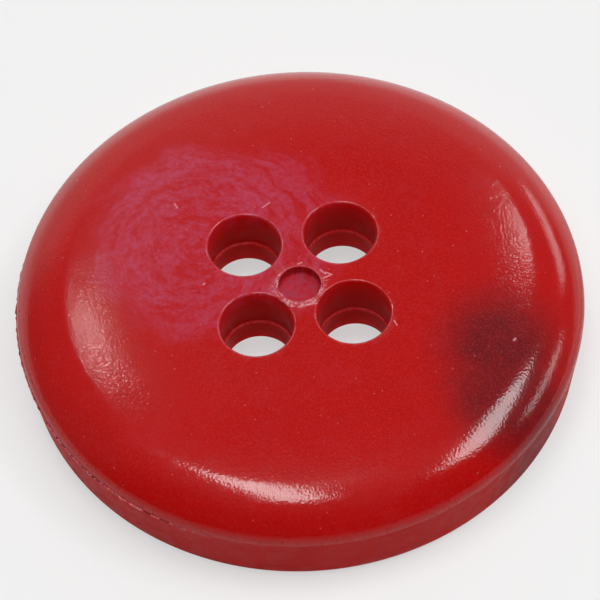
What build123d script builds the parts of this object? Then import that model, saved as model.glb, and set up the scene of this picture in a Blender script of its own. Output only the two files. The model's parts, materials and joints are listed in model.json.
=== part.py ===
from build123d import *
from math import radians, sin
import os

# Four-hole sewing button, moulded in one piece from marbled plastic.
# The seat of its hollow back lies on Z = 0, and its face looks up along +Z.
# The thread holes stand square to X and Y about the centre.

# Body, in millimetres and degrees
outer_diameter = 20.0      # across the widest line of the edge, where the two mould halves part
thickness = 3.8            # from the seat to the flat of the face
crown_radius = 30.0        # the slow fall of the face outside its flat middle
crown_turn = 6.0           # slope of the face where the shoulder takes over
shoulder_radius = 2.8      # the large round from the face down to the edge
shoulder_turn = 45.0       # slope where the edge round takes over
edge_radius = 0.6          # the small round over the edge, down to the parting line
wall_lean = 6.6            # the side wall leans in towards the back by this angle
seat_round = 0.4           # between the side wall and the seat

# Flash: the fine fin that the mould left along its parting line
flash_width = 0.04
flash_height = 0.08

# Hollow back
dish_diameter = 16.4       # the shallow dish inside the seat ring
dish_depth = 1.2           # from the seat up to the flat floor of the dish
dish_floor_diameter = 9.2  # the flat floor, where the thread comes through
dish_lip_round = 0.3       # between the seat ring and the dish

# Thread holes: two pins met in the mould and left a ledge in each hole
hole_spacing = 3.4         # centre to centre, along X and along Y
upper_hole_diameter = 2.57
lower_hole_diameter = 2.40
ledge_depth = 1.65         # from the flat of the face down to the ledge
mouth_bevel = 0.08         # the broken edge at the top of each hole
foot_bevel = 0.08          # and at the bottom

# Gate mark: the round pocket between the holes, where the plastic flowed in
gate_diameter = 1.50
gate_depth = 0.38
gate_offset = 0.26         # how far it sits in front of the centre
burr_width = 0.10          # the low lip of torn plastic around the pocket
burr_height = 0.035

# How far out each round of the section reaches
crown_reach = crown_radius * sin(radians(crown_turn))
shoulder_reach = shoulder_radius * (sin(radians(shoulder_turn)) - sin(radians(crown_turn)))
edge_reach = edge_radius * (1 - sin(radians(shoulder_turn)))
outer_radius = outer_diameter / 2
flat_radius = outer_radius - edge_reach - shoulder_reach - crown_reach

with BuildPart() as button:
    # Half section of the body, turned about Z
    with BuildSketch(Plane.XZ) as section:
        with BuildLine():
            flat = Line((0, thickness), (flat_radius, thickness))
            crown = JernArc(flat @ 1, flat % 1, crown_radius, -crown_turn)
            shoulder = JernArc(crown @ 1, crown % 1, shoulder_radius, crown_turn - shoulder_turn)
            edge = JernArc(shoulder @ 1, shoulder % 1, edge_radius, shoulder_turn - 90)
            fin_tip = edge @ 1 + (flash_width, -flash_height / 2)
            fin_foot = edge @ 1 - (0, flash_height)
            Polyline(edge @ 1, fin_tip, fin_foot)
            wall = PolarLine(fin_foot, Axis.X, angle=-90 - wall_lean)
            seat = Line(wall @ 1, (dish_diameter / 2, 0))
            dish_floor = Line((0, dish_depth), (dish_floor_diameter / 2, dish_depth))
            TangentArc(dish_floor @ 1, seat @ 1, tangent=dish_floor % 1)
            Line(dish_floor @ 0, flat @ 0)
        make_face()
        dish_lip, seat_corner = section.vertices().group_by(Axis.Y)[0].sort_by(Axis.X)
        fillet(dish_lip, dish_lip_round)
        fillet(seat_corner, seat_round)
    revolve(axis=Axis.Z)

    # Thread holes: a wide bore from the face down to the ledge, and a narrower one through the back
    with Locations((0, 0, thickness)):
        with GridLocations(hole_spacing, hole_spacing, 2, 2):
            CounterBoreHole(lower_hole_diameter / 2, upper_hole_diameter / 2, ledge_depth)
    face = button.faces().filter_by(Plane.XY).sort_by(Axis.Z)[-1]
    chamfer([mouth.edge() for mouth in face.inner_wires()], mouth_bevel)
    hollow = button.faces().filter_by(Plane.XY).sort_by(Axis.Z)[1]
    chamfer([foot.edge() for foot in hollow.inner_wires()], foot_bevel)

    # Gate pocket, cut down through a low cone that is left around it as the burr
    with Locations((0, -gate_offset, thickness)):
        burr_foot = gate_diameter / 2 + burr_width
        Cone(burr_foot, gate_diameter / 2, burr_height, align=(Align.CENTER, Align.CENTER, Align.MIN))
    with Locations((0, -gate_offset, thickness + burr_height)):
        Hole(gate_diameter / 2, depth=gate_depth + burr_height)

button.part.label = "button"
os.makedirs("parts", exist_ok=True)
export_step(button.part, "parts/button.step")
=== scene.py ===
import json
from math import atan2, cos, degrees, hypot, pi, radians, sin, sqrt
import bpy
from mathutils import Matrix, Vector


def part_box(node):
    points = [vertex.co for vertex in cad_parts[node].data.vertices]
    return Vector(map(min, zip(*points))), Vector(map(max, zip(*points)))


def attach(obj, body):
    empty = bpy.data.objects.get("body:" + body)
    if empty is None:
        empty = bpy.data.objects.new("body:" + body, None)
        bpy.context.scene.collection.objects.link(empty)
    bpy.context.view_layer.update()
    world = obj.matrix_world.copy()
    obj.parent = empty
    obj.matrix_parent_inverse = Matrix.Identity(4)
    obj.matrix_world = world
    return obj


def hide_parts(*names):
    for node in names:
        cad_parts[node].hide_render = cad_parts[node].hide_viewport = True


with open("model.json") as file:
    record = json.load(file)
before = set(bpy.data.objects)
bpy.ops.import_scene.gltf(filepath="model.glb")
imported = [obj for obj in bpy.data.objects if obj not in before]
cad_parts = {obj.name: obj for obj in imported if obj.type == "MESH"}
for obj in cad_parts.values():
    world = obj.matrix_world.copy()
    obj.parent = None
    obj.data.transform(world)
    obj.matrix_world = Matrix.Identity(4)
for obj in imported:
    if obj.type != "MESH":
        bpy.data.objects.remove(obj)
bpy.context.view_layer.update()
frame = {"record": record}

# Button body
# The button is one piece of marbled plastic, moulded between two halves. Its section is drawn from
# the axis outwards, over the face, down the edge and back under the hollow, and then turned.
mm = 0.001
weld = 0.001 * mm               # points closer than this are one point
low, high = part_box("button")
lip_height = 0.035 * mm         # the torn lip of the gate pocket stands this far above the face
flash_width = 0.04 * mm         # the fin along the line where the mould halves met
flash_height = 0.08 * mm
face_height = high.z - lip_height
body_radius = high.x - flash_width
crown_radius, crown_turn = 30.0 * mm, radians(6.0)
shoulder_radius, shoulder_turn = 2.8 * mm, radians(45.0)
edge_radius = 0.6 * mm
wall_lean = radians(6.6)
seat_round = 0.4 * mm
dish_radius, dish_floor_radius, dish_depth = 8.2 * mm, 4.6 * mm, 1.2 * mm
dish_lip_round = 0.3 * mm
pocket_radius, pocket_depth, pocket_round = 0.75 * mm, 0.38 * mm, 0.06 * mm
lip_foot, lip_round = 0.012 * mm, 0.020 * mm
lip_slope = ((0.07, 0.004), (0.10, 0.020), (0.125, 0.016), (0.155, 0.0))    # past the pocket, over the face
turn_steps = 640


def start_section(name, place):
    """One vertex, in edit mode, that a section is drawn from."""
    bpy.ops.object.select_all(action="DESELECT")
    bpy.ops.mesh.primitive_plane_add(size=mm)
    piece = bpy.context.object
    piece.name = piece.data.name = name
    bpy.ops.object.mode_set(mode="EDIT")
    bpy.ops.mesh.select_all(action="SELECT")
    bpy.ops.mesh.merge(type="CENTER")
    bpy.ops.transform.translate(value=place)
    return piece, Vector(place)


def draw_line(tip, end, steps=1):
    """Extrudes the section from its tip to end, given as its distance out and its height."""
    end = Vector((end[0], tip.y, end[1]))
    for _ in range(steps):
        bpy.ops.mesh.extrude_region_move(TRANSFORM_OT_translate={"value": (end - tip) / steps})
    return end


def draw_round(tip, centre, turn, steps):
    """Carries the section on along an arc. A positive turn goes from the top outwards and down.

    The spin operator counts its angle the other way round."""
    centre = Vector((centre[0], tip.y, centre[1]))
    bpy.ops.mesh.spin(steps=steps, angle=-turn, center=centre, axis=(0, 1, 0))
    return centre + Matrix.Rotation(turn, 3, "Y") @ (tip - centre)


def draw_fall(tip, radius, slope, end_slope, steps):
    """Carries the section on without a corner, along an arc that falls from one slope to the next."""
    centre = (tip.x - radius * sin(slope), tip.z - radius * cos(slope))
    return draw_round(tip, centre, end_slope - slope, steps)


def turn_section(axis_place, steps):
    """Turns the whole section about its axis and closes it at the poles."""
    bpy.ops.mesh.select_all(action="SELECT")
    bpy.ops.mesh.spin(steps=steps, angle=2 * pi, center=axis_place, axis=(0, 0, 1))
    bpy.ops.mesh.select_all(action="SELECT")
    bpy.ops.mesh.remove_doubles(threshold=weld)
    bpy.ops.mesh.normals_make_consistent(inside=False)
    bpy.ops.object.mode_set(mode="OBJECT")


button, tip = start_section("marbled_button", (0, 0, face_height - pocket_depth))

# Gate pocket and its lip
tip = draw_line(tip, (pocket_radius - pocket_round, tip.z), 6)
tip = draw_round(tip, (tip.x, tip.z + pocket_round), -pi / 2, 4)
tip = draw_line(tip, (pocket_radius, face_height + lip_foot), 5)
tip = draw_round(tip, (tip.x + lip_round, tip.z), pi, 6)
for past_pocket, over_face in lip_slope:
    tip = draw_line(tip, (pocket_radius + past_pocket * mm, face_height + over_face * mm), 2)
lip_width = tip.x - pocket_radius

# Face, crown, shoulder and edge round
falls = ((crown_radius, 0, crown_turn, 10),
         (shoulder_radius, crown_turn, shoulder_turn, 20),
         (edge_radius, shoulder_turn, pi / 2, 8))
flat_radius = body_radius - sum(radius * (sin(end) - sin(start)) for radius, start, end, _ in falls)
tip = draw_line(tip, (flat_radius, face_height), 12)
for radius, start, end, steps in falls:
    tip = draw_fall(tip, radius, start, end, steps)

# Flash, side wall and seat
parting_height = tip.z - flash_height / 2
tip = draw_line(tip, (body_radius + flash_width, parting_height))
tip = draw_line(tip, (body_radius, parting_height - flash_height / 2))
wall_end_height = seat_round * (1 - sin(wall_lean))
wall_end = body_radius - (tip.z - wall_end_height) * sin(wall_lean) / cos(wall_lean)
tip = draw_line(tip, (wall_end, wall_end_height), 6)
tip = draw_round(tip, (tip.x - seat_round * cos(wall_lean), seat_round), pi / 2 - wall_lean, 6)

# Hollow back, whose curve meets the flat of its floor and the round of its lip without a corner
hollow_radius = ((dish_radius - dish_floor_radius) ** 2 + dish_depth ** 2) / (2 * dish_depth)
hollow_centre = dish_depth - hollow_radius
lip_fall = dish_lip_round - hollow_centre
lip_out = dish_floor_radius + sqrt((hollow_radius + dish_lip_round) ** 2 - lip_fall ** 2)
tip = draw_line(tip, (lip_out, 0), 2)
lip_turn = atan2(lip_out - dish_floor_radius, lip_fall)
tip = draw_round(tip, (lip_out, dish_lip_round), lip_turn, 4)
hollow_turn = atan2(tip.x - dish_floor_radius, tip.z - hollow_centre)
tip = draw_round(tip, (dish_floor_radius, hollow_centre), -hollow_turn, 16)
tip = draw_line(tip, (0, tip.z), 8)
turn_section((0, 0, 0), turn_steps)

# Gate pocket
# The plastic flowed in through the round pocket, which sits a little in front of the centre. The flat of
# the face around it is drawn along, and stays flat.
gate_offset = 0.26 * mm
gate_rim, gate_blend = 1.0 * mm, 2.0 * mm       # moved whole out to the rim, and less and less past it
for vertex in button.data.vertices:
    out = hypot(vertex.co.x, vertex.co.y)
    if out < flat_radius and vertex.co.z > face_height - 1.1 * pocket_depth:
        vertex.co.y -= gate_offset * min(1.0, max(0.0, 1 - (out - gate_rim) / gate_blend))

# Thread holes
# Two pins met in the mould and left a stepped hole: a wide bore from the face down to a ledge, and a
# narrower one below it. Each cutter is turned with the rounded mouth, the ledge and the rounded foot.
holes = [mount for mount in frame["record"]["mounts"] if mount["kind"] == "bore"]
hole_place = holes[-1]["pos_m"][0]      # each hole stands this far from the centre along X and along Y
lower_hole_radius = holes[0]["dims"]["r_mm"] * mm
upper_hole_radius = 1.285 * mm
ledge_depth, ledge_edge = 1.65 * mm, 0.02 * mm
ledge_height = face_height - ledge_depth
mouth_round, foot_round = 0.08 * mm, 0.08 * mm
clear = 1.0 * mm                # how far a cutter stands out past the face and the back
graze = 0.002 * mm              # keeps the round of the mouth from ending right on the face
hole_steps = 96


def make_cutter(name, place):
    """The shape of one hole, standing out past the face and the back."""
    x, y = place
    cutter, tip = start_section(name, (x, y, face_height + clear))
    mouth = x + upper_hole_radius + mouth_round
    tip = draw_line(tip, (mouth, tip.z))
    tip = draw_line(tip, (mouth, face_height + graze))
    tip = draw_round(tip, (mouth, face_height + graze - mouth_round), -pi / 2, 8)
    tip = draw_line(tip, (tip.x, ledge_height + ledge_edge), 4)
    tip = draw_line(tip, (tip.x - ledge_edge, ledge_height))
    tip = draw_line(tip, (x + lower_hole_radius + ledge_edge, ledge_height))
    tip = draw_line(tip, (x + lower_hole_radius, ledge_height - ledge_edge))
    foot = tip.x + foot_round
    tip = draw_line(tip, (tip.x, dish_depth - graze + foot_round), 3)
    tip = draw_round(tip, (foot, tip.z), -pi / 2, 6)
    tip = draw_line(tip, (foot, low.z - clear))
    tip = draw_line(tip, (x, tip.z))
    turn_section((x, y, 0), hole_steps)
    return cutter


cutters = [make_cutter(hole["name"], hole["pos_m"][:2]) for hole in holes]
bpy.ops.object.select_all(action="DESELECT")
for cutter in cutters:
    cutter.select_set(True)
bpy.context.view_layer.objects.active = cutters[0]
bpy.ops.object.join()
cut = button.modifiers.new("holes", "BOOLEAN")
cut.object = cutters[0]
cut.solver = "EXACT"
bpy.ops.object.select_all(action="DESELECT")
button.select_set(True)
bpy.context.view_layer.objects.active = button
bpy.ops.object.modifier_apply(modifier=cut.name)
bpy.data.objects.remove(cutters[0])

# Torn flash and lip
# The mould left a thin fin where its halves met, torn and ragged on the left and all but trimmed away
# on the right. The lip of the gate pocket was torn when the sprue came off, most of all in front.
torn_middle, torn_reach, torn_end = 200, 34, 12        # the torn stretch, in degrees round from +X
flash_left = 0.15                                      # share of the flash left where it was trimmed
flash_grain, flash_tear = 0.16 * mm, 0.12 * mm
lip_front = 250                                        # the most torn side of the lip, in the same degrees
lip_least_tear, lip_least_rise = 0.15, 0.5             # at the back of the lip, as shares of the front
lip_narrow, lip_wide = 0.35, 1.5                       # at the back and in front, as shares of its width
lip_grain, lip_tear = 0.14 * mm, 0.055 * mm
lip_reach_down = 0.005 * mm                            # what is torn along stands no lower than this
flash = button.vertex_groups.new(name="flash")
torn_lip = button.vertex_groups.new(name="torn_lip")
for vertex in button.data.vertices:
    x, y, z = vertex.co
    out = hypot(x, y)
    from_gate = hypot(x, y + gate_offset)
    if out > body_radius + flash_width / 2:
        past = abs(degrees(atan2(y, x)) % 360 - torn_middle) - torn_reach
        torn = max(0.0, 1 - max(0.0, past) / torn_end)
        flash.add([vertex.index], torn, "REPLACE")
        grown = (body_radius + (flash_left + (1 - flash_left) * torn) * flash_width) / out
        vertex.co.x, vertex.co.y = x * grown, y * grown
    elif z > face_height - lip_reach_down and from_gate < pocket_radius + lip_width + weld:
        forward = 0.5 + 0.5 * cos(atan2(y + gate_offset, x) - radians(lip_front))
        beyond = max(0.0, from_gate - pocket_radius)
        held_at_foot = max(0.0, 1 - (beyond / lip_width) ** 4)
        tear = (lip_least_tear + (1 - lip_least_tear) * forward) * held_at_foot
        torn_lip.add([vertex.index], tear, "REPLACE")
        grown = (pocket_radius + beyond * (lip_narrow + (lip_wide - lip_narrow) * forward)) / from_gate
        vertex.co.x, vertex.co.y = x * grown, (y + gate_offset) * grown - gate_offset
        rise = lip_least_rise + (1 - lip_least_rise) * forward
        vertex.co.z = min(z, face_height) + max(0.0, z - face_height) * rise


def make_ragged(piece, group, grain, strength, middle, direction="NORMAL"):
    """Roughens one group of vertices with a cloud pattern, and applies it."""
    clouds = bpy.data.textures.new(group, "CLOUDS")
    clouds.cloud_type = "COLOR"
    clouds.noise_scale = grain
    clouds.noise_depth = 2
    clouds.contrast = 1.6
    ragged = piece.modifiers.new(group, "DISPLACE")
    ragged.texture = clouds
    ragged.vertex_group = group
    ragged.strength = strength
    ragged.mid_level = middle
    ragged.direction = direction
    bpy.ops.object.modifier_apply(modifier=ragged.name)


make_ragged(button, "flash", flash_grain, flash_tear, middle=0.40)
make_ragged(button, "torn_lip", lip_grain, lip_tear, middle=0.50, direction="RGB_TO_XYZ")
bpy.ops.object.shade_smooth_by_angle(angle=radians(28))

# Marbled plastic
# The resin is a deep red with a fibrous pink swirl round the holes and one maroon cloud, all the way through,
# so its patterns read the place in the button, in millimetres. Tumbling made the face glossy and the edge
# round satin. The side wall, the back and the holes are as dull as the mould left them.
deep_red, bright_red = (0.44, 0.0040, 0.0030), (0.49, 0.0056, 0.0044)
mottle_pink, swirl_pink, grain_pink = (0.46, 0.030, 0.050), (0.48, 0.047, 0.098), (0.56, 0.040, 0.050)
cloud_maroon = (0.150, 0.0075, 0.010)
# The first colour on the next line is no colour of the resin: it is the painted glow of light in the thread
# holes
painted_glow_red, pocket_pink = (1.0, 0.0035, 0.0035), (0.37, 0.042, 0.075)
# The first colour on the next line is the pale of strained plastic, and also the colour of the painted
# highlights at the hole rims and the ledge
strained_pale_and_highlight, gap_shadow = (0.71, 0.26, 0.30), (0.10, 0.012, 0.014)
swirl_eye = (-3.6, 1.8)
swirl_oval = ((-2.6, 2.1), (4.7, 4.3), 0.0)                     # centre, half its size and its turn
main_cloud_oval = ((6.5, -3.8), (2.7, 2.9), radians(-6))
low_cloud_oval = ((6.45, -5.6), (2.7, 3.1), radians(14))
flake = (((0.80, 0.22), (0.95, 0.04), 0.048),                   # start, end and half width of each mark
         ((0.97, 0.09), (1.16, -0.03), 0.042),
         ((1.16, -0.03), (0.87, -0.13), 0.048))
scratches = (((0.06, 0.60), (0.20, 0.64), 0.040), ((0.08, -1.16), (0.49, -1.15), 0.035),
             ((-0.86, 3.21), (-0.58, 3.38), 0.035), ((-3.92, 3.88), (-3.84, 3.67), 0.040),
             ((3.03, -2.29), (3.10, -2.49), 0.035))
specks = (((-3.32, 0.27), (-3.28, 0.29), 0.050), ((7.00, -3.66), (7.06, -3.60), 0.060))
hole_reach = upper_hole_radius + 0.2 * mouth_round              # a hole ends here and the face begins
face, ledge, hollow = face_height / mm, ledge_height / mm, dish_depth / mm
hole_edge, rim_radius = hole_reach / mm, (upper_hole_radius + mouth_round) / mm - 0.015
pocket_edge, edge_line = pocket_radius / mm + 0.02, body_radius / mm


def open_material(name):
    """A new material, whose nodes the functions below build. Returns it and its main shader."""
    global tree
    material = bpy.data.materials.new(name)
    material.use_nodes = True
    tree = material.node_tree
    return material, tree.nodes["Principled BSDF"]


def add(kind, *inputs, output=0, **settings):
    """Adds a shader node. An input is a number or colour, another node's output, or None to skip."""
    node = tree.nodes.new("ShaderNode" + kind)
    for name, value in settings.items():
        setattr(node, name, value)
    for socket, value in zip(node.inputs, inputs):
        if isinstance(value, bpy.types.NodeSocket):
            tree.links.new(value, socket)
        elif value is not None:
            socket.default_value = value
    return node.outputs[output]


def calc(operation, value, *others):
    """Works on a value alone, or with each of the others in turn."""
    if not others:
        return add("Math", value, operation=operation)
    for other in others:
        value = add("Math", value, other, operation=operation)
    return value


def plus(*values):
    return calc("ADD", *values)


def minus(value, other):
    return calc("SUBTRACT", value, other)


def times(*values):
    return calc("MULTIPLY", *values)


def largest(*values):
    return calc("MAXIMUM", *values)


def distance(across, along):
    return calc("SQRT", plus(times(across, across), times(along, along)))


def fade(value, start, end, low_end=0.0, high_end=1.0):
    """Goes smoothly from low_end to high_end as value goes from start to end."""
    return add("MapRange", value, start, end, low_end, high_end, interpolation_type="SMOOTHSTEP")


def close_to(value, middle, fades_at, full_at, strength=1.0):
    """The strength where value is within full_at of the middle, and 0 from fades_at outwards."""
    return fade(calc("ABSOLUTE", minus(value, middle)), fades_at, full_at, 0.0, strength)


def noise(place, scale, detail=3.0, rough=0.5):
    return add("TexNoise", place, None, scale, detail, rough)


def tint(amount, first, second):
    """Mixes two colours by amount."""
    node = tree.nodes.new("ShaderNodeMix")
    node.data_type = "RGBA"
    for name, value in (("Factor_Float", amount), ("A_Color", first), ("B_Color", second)):
        socket = next(s for s in node.inputs if s.identifier == name)
        if isinstance(value, bpy.types.NodeSocket):
            tree.links.new(value, socket)
        else:
            socket.default_value = (*value, 1)
    return next(s for s in node.outputs if s.identifier == "Result_Color")


def oval(x, y, shape, ragged):
    """How far a point lies out from the middle of an oval, 1 on its edge, plus a wandering amount."""
    centre, half_size, turn = shape
    across, along = minus(x, centre[0]), minus(y, centre[1])
    turned_x = plus(times(across, cos(turn)), times(along, sin(turn)))
    turned_y = minus(times(along, cos(turn)), times(across, sin(turn)))
    out = distance(calc("DIVIDE", turned_x, half_size[0]), calc("DIVIDE", turned_y, half_size[1]))
    return plus(out, ragged)


def marble(where, x, y, z, from_hole, from_gate):
    """The colour of the resin at each place in the button, with a painted glow on the walls of the thread
    holes.
    """
    # The swirl's threads run round its eye and wander a little
    ripple = minus(noise(where, 0.55, 3), 0.5)
    swirl_x, swirl_y = minus(x, swirl_eye[0]), minus(y, swirl_eye[1])
    out = distance(swirl_x, swirl_y)
    shrink = calc("DIVIDE", 0.8, largest(out, 1.6))
    ring = plus(out, times(ripple, 1.6))
    round_swirl = add("CombineXYZ", times(swirl_x, shrink), times(swirl_y, shrink), ring)
    bands = fade(noise(round_swirl, 1.0, 2), 0.36, 0.62)
    streaks = fade(noise(round_swirl, 3.4, 5, 0.62), 0.40, 0.60)
    fibres = fade(noise(where, 4.5, 5, 0.7), 0.36, 0.62, 0.40, 1.0)
    inside = fade(oval(x, y, swirl_oval, times(ripple, 0.55)), 1.08, 0.76)
    near_face = fade(z, face - 0.8, face - 0.25)
    swirl = times(plus(times(bands, 0.45), times(streaks, 0.65), 0.12), fibres, inside, near_face)

    # The cloud is one soft oval with a second one hanging from it
    wander = times(ripple, 0.35)
    main_cloud = fade(oval(x, y, main_cloud_oval, wander), 1.12, 0.25)
    low_cloud = fade(oval(x, y, low_cloud_oval, wander), 1.12, 0.30, 0.0, 0.92)
    cloud = times(largest(main_cloud, low_cloud), fade(noise(where, 1.8, 5, 0.65), 0.25, 0.6, 0.82, 1.0))

    mottle = fade(noise(where, 0.8, 4, 0.6), 0.50, 0.75, 0.0, 0.16)
    grain = times(fade(noise(where, 13, 2, 0.6), 0.42, 0.72, 0.0, 0.22),
                  fade(from_hole, hole_edge - 0.05, hole_edge))
    resin = tint(noise(where, 0.35, 3), deep_red, bright_red)
    resin = tint(mottle, resin, mottle_pink)
    resin = tint(swirl, resin, swirl_pink)
    resin = tint(cloud, resin, cloud_maroon)
    resin = tint(grain, resin, grain_pink)

    # The walls of the thread holes are painted brighter red towards their two ends: a painted glow that
    # stands in for light soaking in through the face and bouncing up from under the hollow
    glow = plus(fade(z, face - 1.4, face - 0.1, 0.16, 1.0), fade(z, hollow + 0.7, hollow, 0.0, 0.3))
    resin = tint(times(glow, fade(from_hole, hole_edge, hole_edge - 0.03)), resin, painted_glow_red)
    pocket_floor = times(fade(from_gate, 0.72, 0.60), fade(z, face - 0.25, face - 0.33))
    return tint(times(pocket_floor, fade(noise(where, 4, 4, 0.7), 0.38, 0.60, 0.15, 1.0)), resin, pocket_pink)


def past_edge(x, y, strength=1.0):
    """The strength on the flash, and 0 on the body."""
    return fade(distance(x, y), edge_line + 0.004, edge_line + 0.024, 0.0, strength)


def whitening_and_painted_highlight(where, x, y, z, from_hole, from_gate):
    """Where the plastic was strained or torn it has gone pale: the lip and the flash. The thin ring at each
    hole rim is partly whitened plastic and partly a painted highlight of the rounded mouth, and the line
    along the ledge is a painted highlight of its step.
    """
    on_face = fade(z, face - 0.06, face - 0.03)
    # The ring at each hole rim: partly whitened plastic, partly a painted highlight on the rounded mouth
    rim_whitening_and_highlight = times(close_to(from_hole, rim_radius, 0.030, 0.005, 0.25), on_face)
    # A painted highlight along the edge of the ledge in each hole
    painted_ledge_highlight = times(close_to(z, ledge, 0.08, 0.0, 0.17), fade(from_hole, 1.45, 1.40))
    lip_ring = close_to(from_gate, pocket_edge, 0.035, 0.008, 0.75)
    lip_zone = fade(from_gate, pocket_edge + 0.24, pocket_edge + 0.14, 0.0, 0.30)
    lip = times(largest(lip_ring, lip_zone), fade(y, 0.2, -0.8, 0.25, 1.0), on_face)
    crest = fade(z, face + 0.003, face + 0.020, 0.0, 0.85)
    patchy = fade(noise(where, 8, 3, 0.6), 0.40, 0.60, 0.2, 1.0)
    return times(largest(lip, crest, rim_whitening_and_highlight, painted_ledge_highlight, past_edge(x, y, 0.95)), patchy)


def scratch(x, y, start, end, half_width):
    """1 along a straight scratch on the face, and 0 away from it."""
    run_x, run_y = end[0] - start[0], end[1] - start[1]
    run = hypot(run_x, run_y)
    across, along = minus(x, start[0]), minus(y, start[1])
    reach = plus(times(across, run_x / run ** 2), times(along, run_y / run ** 2))
    reach = calc("MINIMUM", largest(reach, 0.0), 1.0)
    off = distance(minus(across, times(reach, run_x)), minus(along, times(reach, run_y)))
    return fade(off, half_width, 0.3 * half_width)


def pale_dots(where):
    """Fine specks of unmixed pigment, through the whole piece."""
    dots = add("TexVoronoi", where, None, 3.6).node.outputs
    chosen = fade(add("SeparateColor", dots["Color"]), 0.75, 0.95)
    return times(fade(dots["Distance"], 0.16, 0.04), chosen, 0.32)


def make_plastic(name, smoothest, roughest, shine, grain_depth, depth_of_light):
    """One finish of the marbled plastic. Returns the material."""
    plastic, shader = open_material(name)
    where = add("VectorMath", add("TexCoord", output=3), (1 / mm, 1 / mm, 1 / mm), operation="MULTIPLY")
    x, y, z = add("SeparateXYZ", where).node.outputs
    from_hole = distance(minus(calc("ABSOLUTE", x), hole_place / mm),
                         minus(calc("ABSOLUTE", y), hole_place / mm))
    from_gate = distance(x, plus(y, gate_offset / mm))
    marks = largest(*[scratch(x, y, *mark) for mark in flake + scratches + specks])
    marks = times(marks, fade(z, face - 0.5, face - 0.4, 0.0, 0.8))
    pale = largest(marks, whitening_and_painted_highlight(where, x, y, z, from_hole, from_gate), pale_dots(where))
    colour = tint(pale, marble(where, x, y, z, from_hole, from_gate), strained_pale_and_highlight)
    # On the torn stretch of flash at the left, patches are painted dark: a painted shadow of the gaps under
    # the ragged fin
    painted_gap_shade = times(past_edge(x, y), fade(x, -4.5, -6.0), fade(noise(where, 3.2, 2, 0.6), 0.50, 0.44))
    tree.links.new(tint(painted_gap_shade, colour, gap_shadow), shader.inputs["Base Color"])
    tree.links.new(fade(noise(where, 2.0, 3), 0.3, 0.7, smoothest, roughest), shader.inputs["Roughness"])
    shader.inputs["IOR"].default_value = 1.58
    shader.inputs["Specular IOR Level"].default_value = shine
    shader.inputs["Subsurface Weight"].default_value = depth_of_light
    shader.inputs["Subsurface Radius"].default_value = (1.0, 0.08, 0.05)
    shader.inputs["Subsurface Scale"].default_value = 0.6 * mm
    bump = tree.nodes.new("ShaderNodeBump")
    bump.inputs["Distance"].default_value = grain_depth
    tree.links.new(plus(noise(where, 12, 0), times(noise(where, 1.3, 1), 0.6)), bump.inputs["Height"])
    tree.links.new(bump.outputs[0], shader.inputs["Normal"])
    return plastic


tumbled = make_plastic("tumbled_plastic", smoothest=0.11, roughest=0.14, shine=0.5,
                       grain_depth=0.0037 * mm, depth_of_light=0.25)
half_tumbled = make_plastic("half_tumbled_plastic", smoothest=0.25, roughest=0.35, shine=0.2,
                            grain_depth=0.0040 * mm, depth_of_light=0.25)
as_moulded = make_plastic("moulded_plastic", smoothest=0.45, roughest=0.60, shine=0.04,
                          grain_depth=0.0060 * mm, depth_of_light=0.6)
button.data.materials.clear()
for finish in (tumbled, half_tumbled, as_moulded):
    button.data.materials.append(finish)
for facet in button.data.polygons:
    x, y, z = facet.center
    in_hole = hypot(abs(x) - hole_place, abs(y) - hole_place) < hole_reach
    in_pocket = hypot(x, y + gate_offset) < pocket_radius + 0.01 * mm
    if in_hole or in_pocket or z < parting_height:
        facet.material_index = 2
    else:
        facet.material_index = int(z < parting_height + edge_radius * cos(shoulder_turn))
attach(button, "root")
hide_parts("button")

# Floor and backdrop
# A plain pale floor that the button rests on, turned up far away into a low wall, so that a level
# view still has a pale ground behind it.
floor_radius, wall_height, sweep = 1.4, 0.20, 0.12
floor_colour, floor_glow, glow_share = (0.92, 0.92, 0.915, 1), (0.88, 0.875, 0.875, 1), 0.62
floor, tip = start_section("floor", (0, 0, 0))
tip = draw_line(tip, (floor_radius - sweep, 0), 3)
tip = draw_round(tip, (tip.x, sweep), -pi / 2, 8)
tip = draw_line(tip, (tip.x, wall_height))
turn_section((0, 0, 0), 96)
bpy.ops.object.mode_set(mode="EDIT")
bpy.ops.mesh.select_all(action="SELECT")
bpy.ops.mesh.flip_normals()
bpy.ops.object.mode_set(mode="OBJECT")
bpy.ops.object.shade_smooth()
pale_floor, shader = open_material("pale_floor")
shader.inputs["Base Color"].default_value = floor_colour
shader.inputs["Roughness"].default_value = 0.9
ray = tree.nodes.new("ShaderNodeLightPath").outputs
seen = largest(ray["Is Camera Ray"], ray["Is Glossy Ray"], ray["Is Transmission Ray"])
glow = add("Emission", floor_glow)
mixed = add("MixShader", times(seen, glow_share), shader.outputs[0], glow)
tree.links.new(mixed, tree.nodes["Material Output"].inputs["Surface"])
floor.data.materials.append(pale_floor)

# Camera
# It looks down at the face from the front, turned a little to the left and tilted a little.
camera_elevation, camera_azimuth, camera_roll = radians(55.85), radians(-4.68), radians(-3.68)
camera_distance, camera_drop = 128.1 * mm, -0.766 * mm
back = Vector((sin(camera_azimuth) * cos(camera_elevation), -cos(camera_azimuth) * cos(camera_elevation),
               sin(camera_elevation)))
right = Vector((cos(camera_azimuth), sin(camera_azimuth), 0))
up = back.cross(right)
rolled_right = right * cos(camera_roll) + up * sin(camera_roll)
rolled_up = up * cos(camera_roll) - right * sin(camera_roll)
bpy.ops.object.camera_add()
camera = bpy.context.object
camera.data.lens, camera.data.sensor_width = 220, 36
camera.data.clip_start = 1 * mm
turned = Matrix((rolled_right, rolled_up, back)).transposed().to_4x4()
camera_place = Vector((0, 0, face_height)) + back * camera_distance + up * camera_drop
camera.matrix_world = Matrix.Translation(camera_place) @ turned
bpy.context.scene.camera = camera

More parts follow.
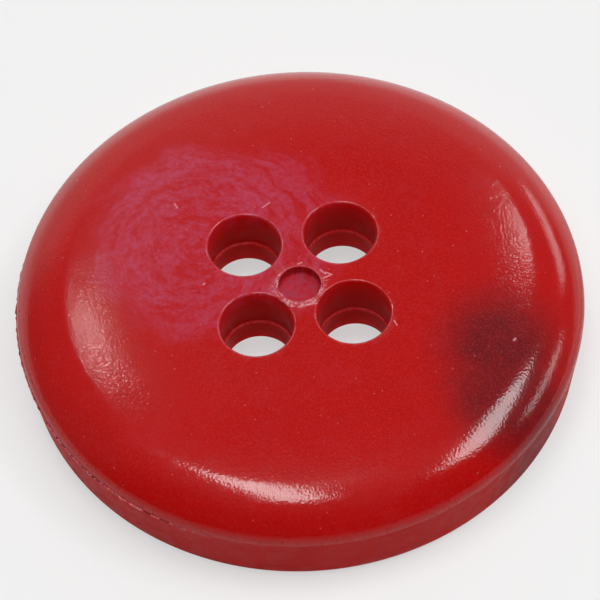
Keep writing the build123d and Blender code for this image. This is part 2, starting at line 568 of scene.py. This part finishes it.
# Lights
# Narrow soft lights overhead, to the right and behind, each as long as its highlight asks. A wide
# fill over the face carries most of the light, and shows in no reflection, as a polarised one would.
ahead = Vector((-sin(camera_azimuth), cos(camera_azimuth), 0))
light_distance = 0.5


def soft_light(name, across, away, width, length, radiance, lean=0.0):
    """A soft light in the direction that lies across and away from overhead, as seen in a dome.
    Its length runs away from the camera, and leans to the left by an angle."""
    out = right * across + ahead * away + Vector((0, 0, sqrt(1 - across ** 2 - away ** 2)))
    along = (ahead - out * ahead.dot(out)).normalized()
    along.rotate(Matrix.Rotation(lean, 3, out))
    bpy.ops.object.light_add(type="AREA")
    light = bpy.context.object
    light.name = name
    light.data.shape = "RECTANGLE"
    light.data.size = width * light_distance
    light.data.size_y = length * light_distance
    light.data.energy = radiance * pi * light.data.size * light.data.size_y
    facing = Matrix((along.cross(out), along, out)).transposed().to_4x4()
    light.matrix_world = Matrix.Translation(out * light_distance) @ facing
    return light


soft_light("overhead", -0.09, -0.01, 0.16, 0.46, 7.5, radians(14))
soft_light("overhead_halo", -0.04, 0.20, 0.26, 0.26, 0.3)
soft_light("right", 0.52, 0.04, 0.24, 0.46, 6.5, radians(8))
soft_light("behind_left", -0.212, 0.514, 0.026, 0.044, 30.0)
soft_light("behind_left_skirt", -0.163, 0.563, 0.18, 0.28, 0.20, radians(-47))
soft_light("behind_right", 0.255, 0.602, 0.025, 0.075, 19.0, radians(-50))
soft_light("low_right", 0.86, 0.10, 0.10, 0.38, 3.1, radians(-19))
soft_light("low_behind_right", 0.66, 0.65, 0.14, 0.34, 2.7, radians(20))
fill = soft_light("fill", 0.0, -0.10, 0.90, 0.90, 2.4)
fill.visible_glossy = False

# Room
# The room is dim, brighter towards the back and dark in front, where the camera stands, so that the face
# shows the lights and little else.
dim, bright = 0.09, 0.50
world = bpy.data.worlds.new("room")
bpy.context.scene.world = world
world.use_nodes = True
tree = world.node_tree
to_back = add("SeparateXYZ", add("TexCoord", output=0)).node.outputs[1]
room_light = times(fade(to_back, 0.60, 0.80, dim, bright), fade(to_back, -0.35, 0.05))
tree.links.new(room_light, tree.nodes["Background"].inputs["Strength"])
tree.nodes["Background"].inputs["Color"].default_value = (1, 1, 1, 1)
bpy.context.scene.view_settings.view_transform = "Standard"
